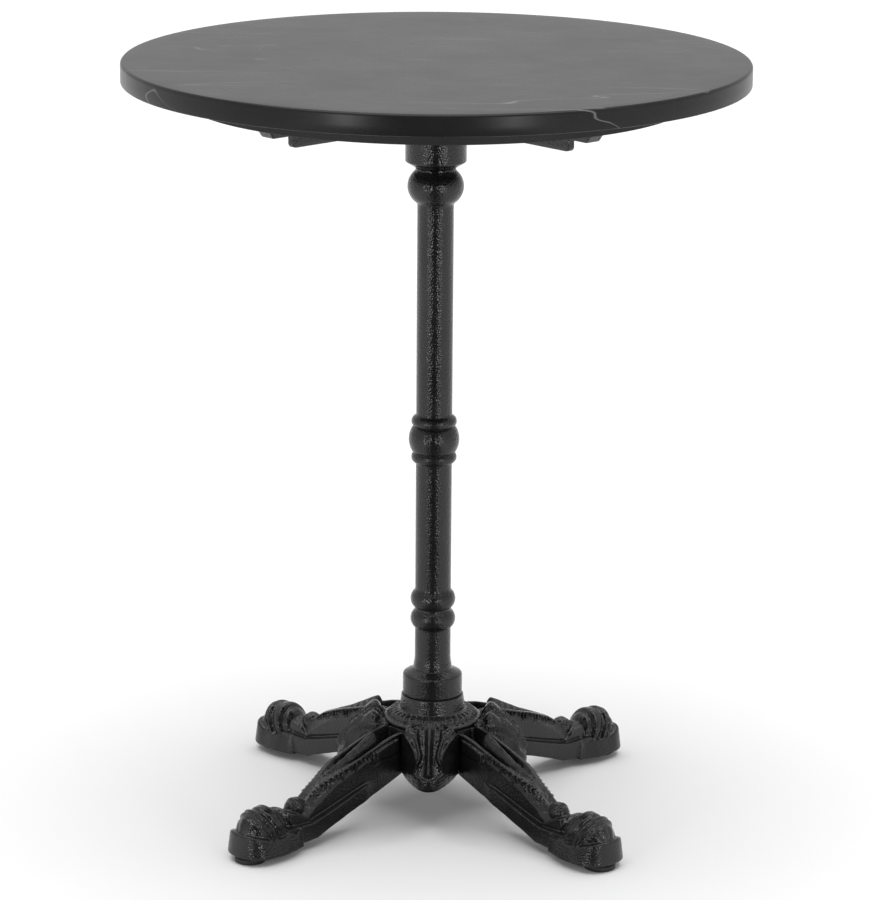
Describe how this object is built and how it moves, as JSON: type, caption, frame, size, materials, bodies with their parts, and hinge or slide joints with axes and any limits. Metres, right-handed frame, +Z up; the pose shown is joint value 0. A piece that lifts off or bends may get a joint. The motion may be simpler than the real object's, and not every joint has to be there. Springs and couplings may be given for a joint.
{
  "type": "bistro table",
  "caption": "Round cafe table with a dark marble slab, a turned cast-iron column and a four-legged ornate cast base with screw-in levelling feet.",
  "frame": {"origin": "on the floor, under the centre of the round top", "axes": "+Z up; the four legs lie on the diagonals between X and Y, and -Y is the front"},
  "size_m": [0.5999, 0.6, 0.75],
  "materials": {
    "marble": "satin",
    "board": "matte",
    "black_iron": "gloss",
    "zinc_steel": "satin",
    "pad_plastic": "matte"
  },
  "bodies": {
    "table": {"table_top": "marble", "backing_board": "board", "top_bracket": "black_iron", "column": "black_iron", "base_hub": "black_iron", "leg_back_right": "black_iron", "leg_back_left": "black_iron", "leg_front_left": "black_iron", "leg_front_right": "black_iron", "bracket_screws": "zinc_steel", "leg_bolts": "zinc_steel", "leg_bolt_washers": "zinc_steel", "tie_rod": "zinc_steel", "rod_top_nut": "zinc_steel", "rod_top_washer": "zinc_steel", "rod_base_washer": "zinc_steel", "rod_base_lock_washer": "zinc_steel", "rod_base_nut": "zinc_steel"},
    "pad_back_right": {"glide_pad_back_right": "pad_plastic"},
    "stud_back_right": {"glide_stud_back_right": "zinc_steel"},
    "pad_back_left": {"glide_pad_back_left": "pad_plastic"},
    "stud_back_left": {"glide_stud_back_left": "zinc_steel"},
    "pad_front_left": {"glide_pad_front_left": "pad_plastic"},
    "stud_front_left": {"glide_stud_front_left": "zinc_steel"},
    "pad_front_right": {"glide_pad_front_right": "pad_plastic"},
    "stud_front_right": {"glide_stud_front_right": "zinc_steel"}
  },
  "joints": [
    {"name": "level_back_right", "type": "slide", "parent": "table", "child": "pad_back_right", "axis": [0, 0, -1], "range_m": [0, 0.01]},
    {"name": "turn_back_right", "type": "hinge", "parent": "pad_back_right", "child": "stud_back_right", "pos_m": [0.16758, 0.16758, 0], "axis": [0, 0, -1], "range_deg": [0, 2880]},
    {"name": "level_back_left", "type": "slide", "parent": "table", "child": "pad_back_left", "axis": [0, 0, -1], "range_m": [0, 0.01]},
    {"name": "turn_back_left", "type": "hinge", "parent": "pad_back_left", "child": "stud_back_left", "pos_m": [-0.16758, 0.16758, 0], "axis": [0, 0, -1], "range_deg": [0, 2880]},
    {"name": "level_front_left", "type": "slide", "parent": "table", "child": "pad_front_left", "axis": [0, 0, -1], "range_m": [0, 0.01]},
    {"name": "turn_front_left", "type": "hinge", "parent": "pad_front_left", "child": "stud_front_left", "pos_m": [-0.16758, -0.16758, 0], "axis": [0, 0, -1], "range_deg": [0, 2880]},
    {"name": "level_front_right", "type": "slide", "parent": "table", "child": "pad_front_right", "axis": [0, 0, -1], "range_m": [0, 0.01]},
    {"name": "turn_front_right", "type": "hinge", "parent": "pad_front_right", "child": "stud_front_right", "pos_m": [0.16758, -0.16758, 0], "axis": [0, 0, -1], "range_deg": [0, 2880]}
  ],
  "couplings": [
    {"joint": "turn_back_right", "follows": "level_back_right", "rad_per_m": 5026.5},
    {"joint": "turn_back_left", "follows": "level_back_left", "rad_per_m": 5026.5},
    {"joint": "turn_front_left", "follows": "level_front_left", "rad_per_m": 5026.5},
    {"joint": "turn_front_right", "follows": "level_front_right", "rad_per_m": 5026.5}
  ]
}
